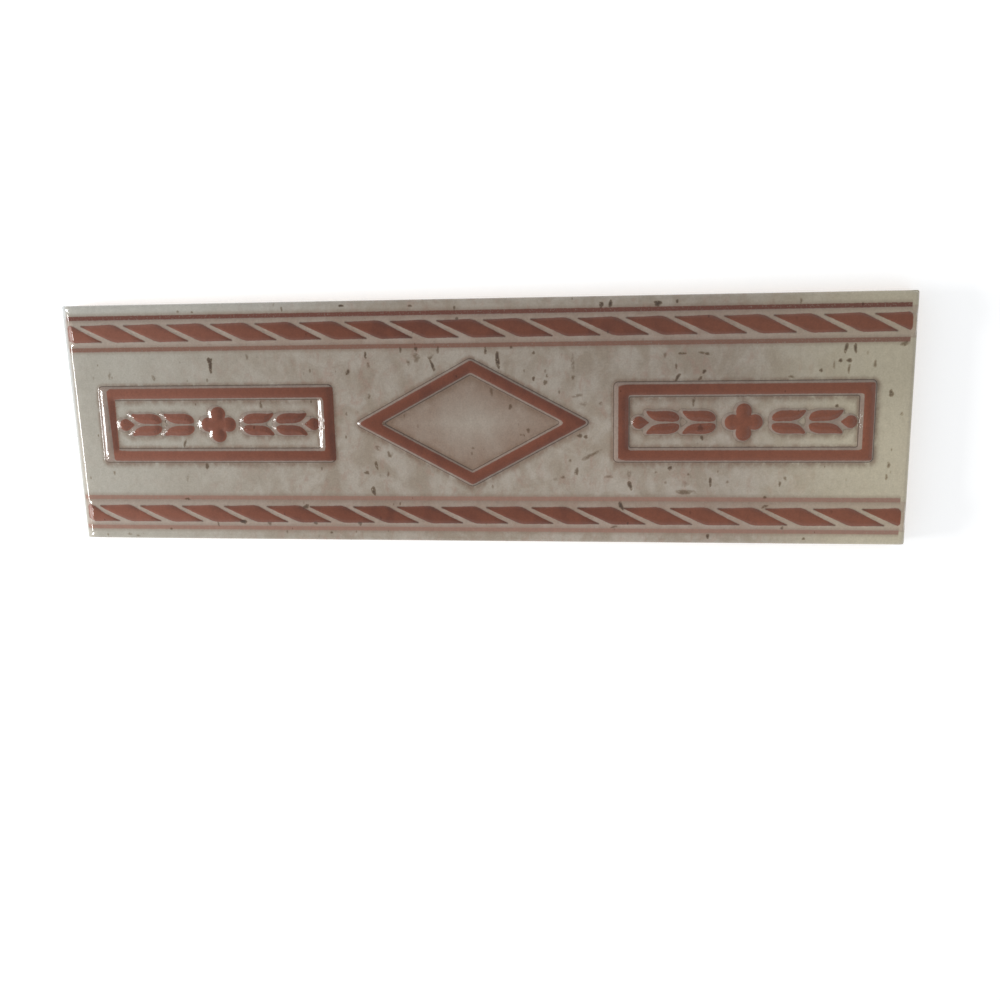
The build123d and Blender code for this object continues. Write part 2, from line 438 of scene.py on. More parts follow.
strand = strandOutline()
spray = sprayOutlines()
frameOuter = rectangleOutline(moulding["frameHalf"], moulding["frameCorner"])
innerHalf = np.subtract(moulding["frameHalf"], moulding["bandWidth"])
frameInner = rectangleOutline(innerHalf, moulding["innerCorner"])
longHalf, shortHalf = moulding["rhombusHalf"]
rhombusOuter = rhombusOutline(0, moulding["rhombusCorners"])
rhombusInner = rhombusOutline(moulding["rhombusBand"], (moulding["innerCorner"],) * 2)
frameSides = (-1, 1)


def ropeEnds(points):  # 0 at the ends of the ropes, 1 where they reach their full height
    (left, right), (leftRun, rightRun) = rope["endGaps"], rope["endRuns"]
    fromLeft = (points[:, 0] + tile["halfLength"] - left) / leftRun
    return np.minimum(fromLeft, (tile["halfLength"] - points[:, 0] - right) / rightRun)


def reliefInsets(points):  # how far each point is inside the foot of each kind of raised form
    strands, mouldings, ornaments = (np.full(len(points), outOfReach) for kind in range(3))
    for place in strandPlaces():
        markForm(strands, points, strand, place)
    for side in frameSides:
        place = (side * moulding["frameCentre"], 0)
        mouldings = np.maximum(mouldings, bandInset(points, frameOuter, frameInner, place))
        for outline in spray:
            markForm(ornaments, points, outline, place, blend=ornament["blend"])
    mouldings = np.maximum(mouldings, bandInset(points, rhombusOuter, rhombusInner, (0, 0)))
    risen = np.minimum(strands + rope["spread"], ropeEnds(points) * rope["flank"])
    risen -= rope["tipFade"] * strandTips(points)
    strands = np.where(strands > -2, risen, strands)
    return {"strandInset": strands, "mouldingInset": mouldings + moulding["spread"],
            "ornamentInset": ornaments + ornament["spread"]}


def shadeInset(points):  # painted shadow below and right of the mouldings and ornaments, partly the tile's own printed shading
    insets = reliefInsets(points - printShift["shade"])
    return np.maximum(insets["mouldingInset"] - moulding["spread"],
                      insets["ornamentInset"] - ornament["spread"])


def pitMarks(points):  # strength of the pits and stains, fading at their edges
    marks = np.zeros(len(points))
    for x, y, length, width, turn, strength in pits:
        inset = np.full(len(points), outOfReach)
        markForm(inset, points, pitOutline(length, width, turn), (x, y), 0.5)
        marks = np.maximum(marks, strength * smooth((inset + 0.3) / 0.5))
    return marks


def printInsets(points):  # how far each point is inside each kind of printed colour
    strands, bands, ornaments = (np.full(len(points), outOfReach) for kind in range(3))
    for place in strandPlaces():
        markForm(strands, points, strand, place)
    low, high = rope["printEnds"]
    ends = rectangleOutline(((high - low) / 2, rope["strandWidth"] / 2), rope["printEndRadius"])
    for side in (-1, 1):
        atEnds = signedInset(points - ((high + low) / 2, side * rope["offset"]), ends)
        onSide = points[:, 1] * side > 0
        strands[onSide] = np.minimum(strands, atEnds)[onSide]
    ((x, y), innerPrint), corner = moulding["framePrint"], moulding["printCorner"]
    inner = rectangleOutline(innerPrint, corner)
    for side, frameShift, sprayShift, (below, above) in zip(
            frameSides, printShift["frames"], printShift["ornaments"], moulding["printTrim"]):
        outer = roundedOutline([(below - x, -y), (x, -y), (x, y), (above - x, y)], [corner] * 4)
        centre = np.array((side * moulding["frameCentre"], 0))
        bands = np.maximum(bands, bandInset(points, outer, inner, centre + frameShift))
        for outline in spray:
            markForm(ornaments, points, outline, centre + sprayShift)
    inset, width = moulding["rhombusPrint"]
    outer, inner = (rhombusOutline(part, moulding["rhombusPrintCorners"]) for part in (inset, inset + width))
    bands = np.maximum(bands, bandInset(points, outer, inner, printShift["rhombus"]))
    return {"strandPrint": strands, "bandPrint": bands, "ornamentPrint": ornaments}


def strandTips(points):  # 1 at a strand's sharp corners, fading out over a few millimetres
    nearest = np.full(len(points), 9.0)
    for place in strandPlaces():
        for tip in rope["tips"]:
            away = (points - np.add(place, tip)) / (2.4, 1)
            nearest = np.minimum(nearest, np.linalg.norm(away, axis=1))
    return np.exp(-nearest / 0.8)


def faceHeight(points):  # the bare face before the relief is pressed up
    x, y = points[:, 0], np.abs(points[:, 1])
    width, slope, softness, radius = tile["bevel"]
    sides = np.stack([tile["halfLength"] - x, tile["halfWidth"] - y], axis=1) / tile["edgeRadius"]
    turn = np.clip(np.linalg.norm(np.clip(1 - sides, 0, 1), axis=1), 0, 1)
    drop = tile["edgeRadius"] * (1 - np.sqrt(1 - turn**2))
    fromLeft = x + tile["halfLength"]
    worn = slope * softness * np.logaddexp(0, (width - fromLeft) / softness)
    worn += radius * (1 - np.sqrt(1 - np.clip(1 - fromLeft / radius, 0, 1)**2))
    drop = np.minimum(np.hypot(drop, worn), tile["edgeDrop"])
    fromFoot = rope["beadWidth"] / 2 - np.abs(np.abs(points[:, 1]) - rope["offset"])
    share = np.clip(fromFoot / (rope["beadWidth"] / 2), 0, 1)
    rounding = smooth(fromFoot / rope["beadFoot"]) * smooth(ropeEnds(points))
    return tile["fieldHeight"] - drop + rope["beadArch"] * (1 - (1 - share)**2) * rounding


def planRopes(plan):  # strands, and rows of points along the beads and across their ends
    for place in strandPlaces():
        plan.addForm(strand, place, rope["stations"], rope["edgeLimit"])
    reach = tile["halfLength"] - rope["rowGap"]
    xs = np.linspace(-reach, reach, rope["rowPoints"])
    pointsAcross, endRows = rope["endGrid"]
    for side in (-1, 1):
        middle = side * rope["offset"]
        for away in rope["rows"]:
            for edge in (-1, 1):
                plan.add(np.column_stack([xs, np.full(len(xs), middle + edge * away)]), closed=False)
        ys = middle + np.linspace(-rope["beadWidth"] / 2, rope["beadWidth"] / 2, pointsAcross)
        for end, gap, run in zip((-1, 1), rope["endGaps"], rope["endRuns"]):
            for share in np.linspace(0, 1, endRows):
                x = end * (tile["halfLength"] - gap - share * run)
                plan.add(np.column_stack([np.full(len(ys), x), ys]), closed=False)


def facePlan():
    plan = Plan()
    for inset in tile["edgeRings"]:
        plan.add(tileLoop(inset))
    planRopes(plan)
    for side in frameSides:
        place = (side * moulding["frameCentre"], 0)
        plan.addForm(refine(frameOuter, 2.5), place, moulding["stations"])
        plan.addForm(refine(frameInner, 2.5), place, [-station for station in moulding["stations"]])
        for outline in spray:
            plan.addForm(outline, place, ornament["stations"])
    plan.addForm(refine(rhombusOuter, 1.5), (0, 0), moulding["stations"])
    plan.addForm(refine(rhombusInner, 1.5), (0, 0), [-station for station in moulding["stations"]])
    for x, y, length, width, turn, strength in pits:
        outline = pitOutline(length, width, turn)
        for share in pitRings:
            plan.add(outline * share + (x, y))
        plan.addForm(outline, (x, y), (-pitFade,))
    grid = hexGrid(tile["fieldStep"])
    insets = reliefInsets(grid)
    clear = np.all([values < -1.2 for values in insets.values()], axis=0)
    clear &= np.abs(np.abs(grid[:, 1]) - rope["offset"]) > rope["beadWidth"] / 2 + 1
    plan.points.extend(map(tuple, grid[clear]))
    return plan


def backPlan():
    plan = Plan()
    plan.add(tileLoop(back["edgeRound"] + back["glazeLip"]))
    pitchX = (2 * (tile["halfLength"] - back["margin"]) + back["rib"]) / back["columns"]
    pitchY = (2 * (tile["halfWidth"] - back["margin"]) + back["rib"]) / back["rows"]
    pocketHalf = ((pitchX - back["rib"]) / 2, (pitchY - back["rib"]) / 2)
    pocket = refine(rectangleOutline(pocketHalf, back["pocketCorner"], 0.4), 4.0)
    places = [((column - (back["columns"] - 1) / 2) * pitchX, (row - (back["rows"] - 1) / 2) * pitchY)
              for column in range(back["columns"]) for row in range(back["rows"])]
    for place in places:
        plan.addForm(pocket, place, back["stations"])
    return plan, pocket, places


def sideLoops():  # from the edge of the glazed face down to the back: height, inset and finish
    top = tile["fieldHeight"] - tile["edgeDrop"]
    glazeEnd = tile["fieldHeight"] - back["glazeEdge"]
    lip, radius = back["glazeLip"], back["edgeRound"]
    loops = [(top - 0.5, 0, 0), (glazeEnd, 0, 0), (glazeEnd - 0.05, lip, 1), (glazeEnd - 1.0, lip, 1)]
    for turn in np.radians((0, 30, 60)):
        loops.append((radius * (1 - math.sin(turn)), lip + radius * (1 - math.cos(turn)), 1))
    return loops, glazeEnd


def buildTile():
    points, faces, found = facePlan().triangulate()
    loopSize = len(tileLoop(0))
    heights = faceHeight(points)
    marks = {**reliefInsets(points), **printInsets(points), "strandTipShade": strandTips(points),
             "shadeInset": shadeInset(points), "pitMark": pitMarks(points)}
    marks["pocketInset"] = np.full(len(points), -1.0)
    vertices = [np.column_stack([points, heights])]
    triangles = [faces]
    finishes = [np.zeros(len(faces), int)]
    previous = np.array([found[index] for index in range(loopSize)])
    total = len(points)
    loops, glazeEnd = sideLoops()
    angle = np.linspace(0, 2 * math.pi, loopSize, endpoint=False)
    wave = np.sin(9 * angle + 1) + 0.6 * np.sin(23 * angle) + 0.5 * np.sin(41 * angle + 2)
    wave *= back["glazeWave"] / 2

    def bridge(upper, lower, finish):
        nextUpper, nextLower = np.roll(upper, -1), np.roll(lower, -1)
        pairs = np.concatenate([np.column_stack([upper, lower, nextLower]),
                                np.column_stack([upper, nextLower, nextUpper])])
        triangles.append(pairs)
        finishes.append(np.full(len(pairs), finish))

    for height, inset, finish in loops:
        ring = tileLoop(inset)
        level = np.full(loopSize, height) + (wave if abs(height - glazeEnd) < 0.1 else 0)
        vertices.append(np.column_stack([ring, level]))
        current = np.arange(total, total + loopSize)
        bridge(previous, current, finish)
        previous, total = current, total + loopSize
    plan, pocket, places = backPlan()
    under, underFaces, underFound = plan.triangulate()
    pockets = np.full(len(under), -1.0)
    for place in places:
        markForm(pockets, under, pocket, place, 0.5)
    vertices.append(np.column_stack([under, np.zeros(len(under))]))
    triangles.append(underFaces[:, ::-1] + total)
    finishes.append(np.ones(len(underFaces), int))
    bridge(previous, np.array([underFound[index] for index in range(loopSize)]) + total, 1)
    sideCount = len(loops) * loopSize
    for name, values in marks.items():
        rest = pockets if name == "pocketInset" else np.full(len(under), outOfReach)
        marks[name] = np.concatenate([values, np.full(sideCount, outOfReach), rest])
    for name in ("strandTipShade", "pitMark"):
        marks[name] = np.maximum(marks[name], 0)
    vertices = np.concatenate(vertices)
    start, full = tile["skewReach"]
    lean = tile["skew"] * (tile["halfWidth"] - vertices[:, 1])
    vertices[:, 0] += lean * smooth((vertices[:, 0] - start) / (full - start))
    return vertices, np.concatenate(triangles), np.concatenate(finishes), marks


def makeMesh(name):
    vertices, triangles, finishes, marks = buildTile()
    mesh = bpy.data.meshes.new(name)
    mesh.vertices.add(len(vertices))
    mesh.vertices.foreach_set("co", (vertices * mm).astype(np.float32).ravel())
    mesh.loops.add(3 * len(triangles))
    mesh.loops.foreach_set("vertex_index", triangles.astype(np.int32).ravel())
    mesh.polygons.add(len(triangles))
    mesh.polygons.foreach_set("loop_start", np.arange(0, 3 * len(triangles), 3, dtype=np.int32))
    mesh.polygons.foreach_set("material_index", finishes.astype(np.int32))
    mesh.polygons.foreach_set("use_smooth", np.ones(len(triangles), bool))
    for label, values in marks.items():
        mesh.attributes.new(label, "FLOAT", "POINT").data.foreach_set("value", values.astype(np.float32))
    mesh.attributes.new("bisque", "BOOLEAN", "FACE").data.foreach_set("value", finishes == 1)
    mesh.update(calc_edges=True)
    mesh.validate()
    return mesh


def addNode(tree, kind, settings=None, inputs=None):  # one node with its settings and links
    node = tree.nodes.new(kind)
    for key, value in (settings or {}).items():
        setattr(node, key, value)
    for key, value in (inputs or {}).items():
        if isinstance(value, bpy.types.NodeSocket):
            tree.links.new(value, node.inputs[key])
        else:
            node.inputs[key].default_value = value
    return node


def mathNode(tree, operation, *values):
    return addNode(tree, "ShaderNodeMath", {"operation": operation}, dict(enumerate(values))).outputs[0]


def emptyMaterial(name):
    material = bpy.data.materials.new(name)
    material.use_nodes = True
    material.node_tree.nodes.clear()
    return material, material.node_tree


def addObject(name, data):
    holder = bpy.data.objects.new(name, data)
    scene.collection.objects.link(holder)
    return holder


def linear(hexColour):  # sRGB hex to linear RGBA
    channels = [int(hexColour[start:start + 2], 16) / 255 for start in (1, 3, 5)]
    return [c / 12.92 if c <= 0.04045 else ((c + 0.055) / 1.055)**2.4 for c in channels] + [1.0]


# The press: lifts every form of relief from its foot over its flank, and the pockets of the back.
# The shares of the flank say where its hollow foot ends and where its rounded shoulder begins
pressParts = ("Steepness", "Flank", "Hollow", "Shoulder")
press = {
    "strand": (rope["steepness"], rope["flank"], 0.5, 0.5),
    "moulding": (moulding["steepness"], moulding["flank"], 0.13, 0.3),
    "ornament": (ornament["steepness"], ornament["flank"], 0.35, 0.5),
    "pocket": (2 * back["pocketDepth"] / back["flank"], back["flank"], 0.5, 0.5),
}
glazeSag = 2  # rounds of softening that the glaze gives to the relief


def pressTree(glazed, bare):
    tree = bpy.data.node_groups.new("pressRelief", "GeometryNodeTree")
    calculate = partial(mathNode, tree)
    tree.interface.new_socket("Geometry", in_out="INPUT", socket_type="NodeSocketGeometry")
    tree.interface.new_socket("Geometry", in_out="OUTPUT", socket_type="NodeSocketGeometry")
    for form in press:
        for part in pressParts:
            tree.interface.new_socket(form + part, in_out="INPUT", socket_type="NodeSocketFloat")
    tree.interface.new_socket("sag", in_out="INPUT", socket_type="NodeSocketInt")
    entry = addNode(tree, "NodeGroupInput")
    height = 0.0
    for form in press:
        steepness, flank, hollow, shoulder = (entry.outputs[form + part] for part in pressParts)
        named = {"Name": form + "Inset"}
        inset = addNode(tree, "GeometryNodeInputNamedAttribute", {"data_type": "FLOAT"}, named)
        share = addNode(tree, "ShaderNodeMapRange", None, {
            "Value": inset.outputs["Attribute"], "From Max": flank}).outputs["Result"]
        low = calculate("MINIMUM", share, hollow)
        foot = calculate("DIVIDE", calculate("MULTIPLY", low, low), hollow)
        middle = calculate("MINIMUM", calculate("MAXIMUM", share, hollow), shoulder)
        straight = calculate("SUBTRACT", middle, hollow)
        full = calculate("SUBTRACT", 1.0, shoulder)
        left = calculate("SUBTRACT", 1.0, calculate("MAXIMUM", share, shoulder))
        arch = calculate("SUBTRACT", full, calculate("DIVIDE", calculate("MULTIPLY", left, left), full))
        curved = calculate("MULTIPLY", calculate("ADD", foot, arch), 0.5)
        reach = calculate("MULTIPLY", steepness, flank)
        height = calculate("ADD", calculate("MULTIPLY", calculate("ADD", curved, straight), reach), height)
    height = addNode(tree, "GeometryNodeBlurAttribute", {"data_type": "FLOAT"}, {
        "Value": height, "Iterations": entry.outputs["sag"]}).outputs["Value"]
    offset = addNode(tree, "ShaderNodeCombineXYZ", None, {"Z": calculate("MULTIPLY", height, mm)})
    moved = addNode(tree, "GeometryNodeSetPosition", None, {
        "Geometry": entry.outputs[0], "Offset": offset.outputs[0]})
    realised = addNode(tree, "GeometryNodeRealizeInstances", None, {"Geometry": moved.outputs[0]})
    coated = addNode(tree, "GeometryNodeSetMaterial", None, {
        "Geometry": realised.outputs[0], "Material": glazed})
    bisque = addNode(tree, "GeometryNodeInputNamedAttribute", {"data_type": "BOOLEAN"}, {"Name": "bisque"})
    finished = addNode(tree, "GeometryNodeSetMaterial", None, {
        "Geometry": coated.outputs[0], "Selection": bisque.outputs["Attribute"], "Material": bare})
    addNode(tree, "NodeGroupOutput", None, {0: finished.outputs[0]})
    return tree


def pressed(blank, tree):  # runs the press on the blank and keeps the result as a plain mesh
    modifier = blank.modifiers.new("press", "NODES")
    modifier.node_group = tree
    inputs = [item for item in tree.interface.items_tree if item.in_out == "INPUT"]
    identifiers = {item.name: item.identifier for item in inputs}
    for form, values in press.items():
        for part, value in zip(pressParts, values):
            modifier[identifiers[form + part]] = value
    modifier[identifiers["sag"]] = glazeSag
    depsgraph = bpy.context.evaluated_depsgraph_get()
    mesh = bpy.data.meshes.new_from_object(blank.evaluated_get(depsgraph))
    bpy.data.objects.remove(blank)
    mesh.name = "borderTile"
    mesh.set_sharp_from_angle(angle=math.radians(50))
    return addObject("glazed_tile", mesh)


# Glazed earthenware, printed under a thick transparent glaze: a glassy skin with soft, uneven highlights
glaze = {
    "pale": "#A0968A",
    "tan": "#8A7C6C",
    "rose": "#917769",
    "west": "#A4A095",
    "east": "#B4AB94",
    # the next two: painted reflections of the bright room, on the top margin and on the rounded left end
    "margin": "#B3B3AC",
    "leftRimReflection": "#C6CACB",
    "rhombusEdge": "#7F6858",
    "speck": "#43342A",
    "stain": "#C4B9AC",  # a tint that darkens what lies under it
    "red": "#6C3D2C",
    "redDeep": "#603527",
    "redWest": "#7F5040",
    "redEast": "#794835",
    "lines": ("#7A5648", "#65392E"),  # inner and outer line
    "lowLine": "#8B6A5C",
    # the next three: painted shade round and below the raised forms, mixed with the tile's own brown print
    # halo and outlines
    "printHaloAndShade": "#776050",
    "shade": "#705B4A",
    "outline": "#4C3D33",
    "shoulder": "#85746A",
    # painted shade with the print's dark corners, for the strands' sharp tips
    "tip": "#3A291F",
    "cloudSize": 9.0,
    "veilSize": 3.2,
    "grainSize": 0.5,
    "raggedSize": 0.9,
    "pitSize": 3.2,
    "edgeRagged": 0.2,
    "lowLift": (0.08, 0.13),  # how much paler the lower side is at the left, and how much more at the right
    "lineOffsets": (22.69, 32.14),
    "lineWidth": 1.15,
    "lineEnds": (-122.9, 122.9),
    "roughness": 0.07,
    "ior": 1.5,
}


def perMetre(size):  # noise scale that gives features of this many millimetres
    return 1 / (size * mm)


class Paint:  # layers of colour laid over each other, with their patterns on object coordinates
    def __init__(self, tree, ground):
        self.tree, self.colour = tree, ground
        self.calculate, self.times = partial(mathNode, tree), partial(mathNode, tree, "MULTIPLY")
        self.place = addNode(tree, "ShaderNodeTexCoord").outputs["Object"]
        self.x, self.y, self.z = addNode(tree, "ShaderNodeSeparateXYZ", None, {0: self.place}).outputs
        self.along, self.across = self.calculate("ABSOLUTE", self.x), self.calculate("ABSOLUTE", self.y)
        self.cloud = self.noise(glaze["cloudSize"], 4, (1.2, 1, 1), 0.31, 0.6, 0.5)
        self.veil = self.noise(glaze["veilSize"], 3, (1.4, 0.9, 1), 0.12, 0.6, 0.3)
        self.grain = self.noise(glaze["grainSize"], shift=0.05)
        self.ragged = self.calculate("SUBTRACT", self.noise(glaze["raggedSize"], shift=0.2), 0.5)

    def noise(self, size, detail=2, stretch=(1, 1, 1), shift=0.0, rough=0.5, warp=0.0):
        spot = addNode(self.tree, "ShaderNodeMapping", None, {
            "Vector": self.place, "Location": (shift, shift, 0), "Scale": stretch})
        return addNode(self.tree, "ShaderNodeTexNoise", None, {
            "Vector": spot.outputs[0], "Scale": perMetre(size), "Detail": detail, "Roughness": rough,
            "Distortion": warp}).outputs["Fac"]

    def band(self, value, low, high, to=1.0):  # 0 at low, the full amount at high, smooth between
        return addNode(self.tree, "ShaderNodeMapRange", {"interpolation_type": "SMOOTHSTEP"}, {
            "Value": value, "From Min": low, "From Max": high, "To Max": to}).outputs[0]

    def mark(self, name):
        return addNode(self.tree, "ShaderNodeAttribute", {"attribute_name": name}).outputs["Fac"]

    def mixed(self, under, over, amount, blend="MIX"):
        under, over = (linear(part) if isinstance(part, str) else part for part in (under, over))
        settings = {"data_type": "RGBA", "blend_type": blend}
        return addNode(self.tree, "ShaderNodeMix", settings, {0: amount, 6: under, 7: over}).outputs[2]

    def cover(self, over, amount, blend="MIX"):
        self.colour = self.mixed(self.colour, over, amount, blend)


def paintGround(paint):  # travertine look: clouds, finer veils and a drift of tint along the tile, with painted reflections on the top margin and the left end
    band, times = paint.band, paint.times
    shareX, shareY = times(paint.along, 1 / longHalf / mm), times(paint.across, 1 / shortHalf / mm)
    reach = paint.calculate("ADD", shareX, shareY)
    calm = paint.calculate("SUBTRACT", 1.0, band(reach, 0.86, 0.84, 0.85))
    paint.cover(glaze["tan"], times(band(paint.cloud, 0.32, 0.66, 0.8), calm))
    paint.cover(glaze["rose"], times(band(paint.veil, 0.48, 0.75, 0.5), calm))
    paint.cover(glaze["west"], band(paint.x, -0.03, -0.125, 0.8))
    paint.cover(glaze["east"], band(paint.x, 0.07, 0.12, 0.85))
    # painted reflection: paler grey along the top margin, towards the left
    paint.cover(glaze["margin"], times(band(paint.y, 0.0325, 0.0345, 0.45), band(paint.x, 0.0, -0.08)))
    # painted reflection: a pale bluish strip on the rounded left end
    paint.cover(glaze["leftRimReflection"], band(paint.x, -0.1226, -0.1242, 0.75))

    # Inside of the rhombus: browner towards its mouldings
    inside = times(band(reach, -0.3, 0.9, 0.85), band(reach, 0.86, 0.84))
    paint.cover(glaze["rhombusEdge"], times(inside, band(paint.cloud, -0.5, 0.9, 1.25)))


# Painted shade and a printed brown halo round the raised forms: where the foot lies, amounts of halo and
# line, half width of the line
footMarks = {
    "mouldingInset": (moulding["spread"], 0.45, 0.85, 0.22),
    "ornamentInset": (ornament["spread"] - 0.45, 0.2, 0.35, 0.12),
}


def paintShades(paint):  # painted shade with a printed brown halo round each foot, a painted shadow deeper below it, a dark line and a shoulder inside it
    band, times = paint.band, paint.times
    # painted shadow below and right of the raised forms
    shade = times(band(paint.mark("shadeInset"), -1.9, 0.0, 0.5), band(paint.veil, 0.2, 0.65, 1.1))
    paint.cover(glaze["shade"], shade)
    for name, (foot, printHaloAndShade, line, width) in footMarks.items():
        inset = paint.calculate("SUBTRACT", paint.mark(name), foot)
        # painted shade with a printed brown halo round the foot
        paint.cover(glaze["printHaloAndShade"], times(band(inset, -1.4, -0.1, printHaloAndShade), band(paint.veil, 0.2, 0.6, 1.2)))
        paint.cover(glaze["shoulder"], band(inset, 0.05, 0.2, 0.7))
        # dark line at the foot: the print's outline, deepened by painted shade in the crease
        edge = paint.calculate("ADD", inset, times(paint.ragged, 0.15))
        lined = times(band(edge, -width, -0.05), band(edge, width, 0.05))
        paint.cover(glaze["outline"], times(lined, line))


def paintRopeGround(paint):  # tint between the strands, and two thin lines beside each rope
    band, times, calculate = paint.band, paint.times, paint.calculate
    away = calculate("ABSOLUTE", calculate("SUBTRACT", paint.across, rope["offset"] * mm))
    onRope = times(band(away, 0.0047, 0.0042), band(paint.z, 0.0062, 0.0072))
    paint.cover(glaze["rose"], times(onRope, 0.45))
    half = glaze["lineWidth"] / 2 * mm
    wobble = times(paint.ragged, 0.0002)
    left, right = glaze["lineEnds"]
    ends = times(band(paint.x, (left - 0.3) * mm, left * mm), band(paint.x, (right + 0.3) * mm, right * mm))
    for offset, tint in zip(glaze["lineOffsets"], glaze["lines"]):
        distance = calculate("ABSOLUTE", calculate("SUBTRACT", paint.across, offset * mm))
        distance = calculate("ADD", distance, wobble)
        line = times(band(distance, half + 0.0002, half - 0.0001), ends)
        tint = paint.mixed(tint, glaze["lowLine"], band(paint.y, 0.001, -0.001))
        paint.cover(glaze["printHaloAndShade"], times(band(distance, half + 0.0013, half, 0.4), ends))
        paint.cover(tint, times(line, band(paint.grain, 0.1, 0.5, 0.95)))


def paintPrint(paint):  # brick-red print on the strands, the mouldings and the ornaments, and painted shade at the strands' sharp tips
    band, times = paint.band, paint.times
    fired = paint.noise(6.0, 3, (1.3, 0.8, 1), 0.4)
    red = paint.mixed(glaze["red"], glaze["redDeep"], band(fired, 0.42, 0.7, 0.8))
    red = paint.mixed(red, glaze["redWest"], band(paint.x, -0.03, -0.11, 0.9))
    red = paint.mixed(red, glaze["redEast"], band(paint.x, 0.02, 0.11, 0.9))
    for name in ("strandPrint", "bandPrint", "ornamentPrint"):
        edge = paint.calculate("ADD", paint.mark(name), times(paint.ragged, glaze["edgeRagged"]))
        paint.cover(red, times(band(edge, -0.1, 0.16), band(paint.grain, -0.1, 0.3)))
    # painted shade deepening the print's dark corners at the strands' sharp tips
    onStrand = band(paint.mark("strandPrint"), -0.4, 0.1, 0.85)
    paint.cover(glaze["tip"], times(paint.mark("strandTipShade"), onStrand))


def paintPits(paint):  # pits and stains of the stone pattern, patchy inside, and small flecks between them
    band, times = paint.band, paint.times
    depth = times(paint.mark("pitMark"), band(paint.noise(0.7, shift=0.6), 0.15, 0.5))
    paint.cover(glaze["stain"], band(depth, 0.0, 0.45), "MULTIPLY")
    paint.cover(glaze["speck"], band(depth, 0.25, 0.95, 0.85))
    spot = addNode(paint.tree, "ShaderNodeMapping", None, {"Vector": paint.place, "Scale": (1.6, 0.9, 1)})
    cells = addNode(paint.tree, "ShaderNodeTexVoronoi", {"feature": "F1"}, {
        "Vector": spot.outputs[0], "Scale": perMetre(glaze["pitSize"]), "Randomness": 1.0})
    chance = addNode(paint.tree, "ShaderNodeSeparateColor", None, {0: cells.outputs["Color"]}).outputs[0]
    size = times(band(chance, 0.6, 1.0), 0.18)
    fleck = band(paint.calculate("SUBTRACT", cells.outputs["Distance"], size), 0.04, -0.06)
    where = times(band(paint.noise(9.0, 1, shift=0.7), 0.42, 0.62), band(size, 0.0, 0.05))
    paint.cover(glaze["stain"], times(fleck, where), "MULTIPLY")


def paintTone(paint):  # grain, and paler along the lower side, most at the right
    band, calculate = paint.band, paint.calculate
    coarse = paint.noise(1.8, 3, (1.3, 0.9, 1), 0.45, 0.65, 0.4)
    tone = addNode(paint.tree, "ShaderNodeMapRange", None, {
        "Value": calculate("MULTIPLY_ADD", coarse, 0.6, paint.times(paint.grain, 0.7)),
        "From Min": 0.35, "From Max": 0.95, "To Min": 0.86, "To Max": 1.14}).outputs[0]
    lowLeft, lowRight = glaze["lowLift"]
    paler = calculate("MULTIPLY_ADD", band(paint.x, -0.03, 0.05), lowRight, lowLeft)
    paler = paint.times(paler, band(paint.y, 0.016, -0.008))
    paler = calculate("ADD", paler, band(paint.y, -0.025, -0.034, 0.07))
    paint.cover(calculate("MULTIPLY_ADD", tone, paler, tone), 1.0, "MULTIPLY")


def glazeMaterial():
    material, tree = emptyMaterial("glazedEarthenware")
    paint = Paint(tree, glaze["pale"])
    for coat in (paintGround, paintShades, paintRopeGround, paintPrint, paintPits, paintTone):
        coat(paint)
    ripple = addNode(tree, "ShaderNodeBump", None, {
        "Height": paint.noise(5.0, shift=0.9), "Strength": 0.25, "Distance": 0.00006})
    surface = addNode(tree, "ShaderNodeBsdfPrincipled", None, {
        "Base Color": paint.colour, "Roughness": glaze["roughness"], "IOR": glaze["ior"],
        "Normal": ripple.outputs[0]})
    addNode(tree, "ShaderNodeOutputMaterial", None, {0: surface.outputs[0]})
    return material


# Fired clay body, unglazed: matt, dusty and slightly sandy
clay = {
    "body": "#C9A98A",
    "dust": "#DCC6AC",
    "dark": "#A98667",
    "grainSize": 0.5,
    "dustSize": 18.0,
    "roughness": 0.92,
}


def clayMaterial():
    material, tree = emptyMaterial("pressedBisqueClay")
    place = addNode(tree, "ShaderNodeTexCoord").outputs["Object"]
    fine, broad = (addNode(tree, "ShaderNodeTexNoise", None, {
        "Vector": place, "Scale": perMetre(size), "Detail": detail}).outputs["Fac"]
        for size, detail in ((clay["grainSize"], 4.0), (clay["dustSize"], 3.0)))
    body = addNode(tree, "ShaderNodeMix", {"data_type": "RGBA"}, {
        0: broad, 6: linear(clay["body"]), 7: linear(clay["dust"])})
    sand = addNode(tree, "ShaderNodeMapRange", None, {
        "Value": fine, "From Min": 0.55, "From Max": 0.75, "To Max": 0.5})
    speckled = addNode(tree, "ShaderNodeMix", {"data_type": "RGBA"}, {
        0: sand.outputs[0], 6: body.outputs[2], 7: linear(clay["dark"])})
    bump = addNode(tree, "ShaderNodeBump", None, {"Height": fine, "Strength": 0.5, "Distance": 0.0001})
    surface = addNode(tree, "ShaderNodeBsdfPrincipled", None, {
        "Base Color": speckled.outputs[2], "Roughness": clay["roughness"], "Normal": bump.outputs[0]})
    addNode(tree, "ShaderNodeOutputMaterial", None, {0: surface.outputs[0]})
    return material


# Studio: white floor, even surroundings that are darker straight above, where the photographer stands, and a
# low window on the left
studio = {
    "floorSize": 3000.0,
    "floorColour": "#F8F8F8",
    "floorLift": 0.34,
    "worldColour": "#F2F4F6",
    "worldStrength": 0.93,
    "overheadStrength": 0.5,
    "overheadReach": (0.5, 0.95),  # cosines from straight up where the darker part begins and is full
    "windowPlace": (-560.0, -45.0, 225.0),
    "windowSize": (250.0, 140.0),
    "windowPower": 2.6,
}


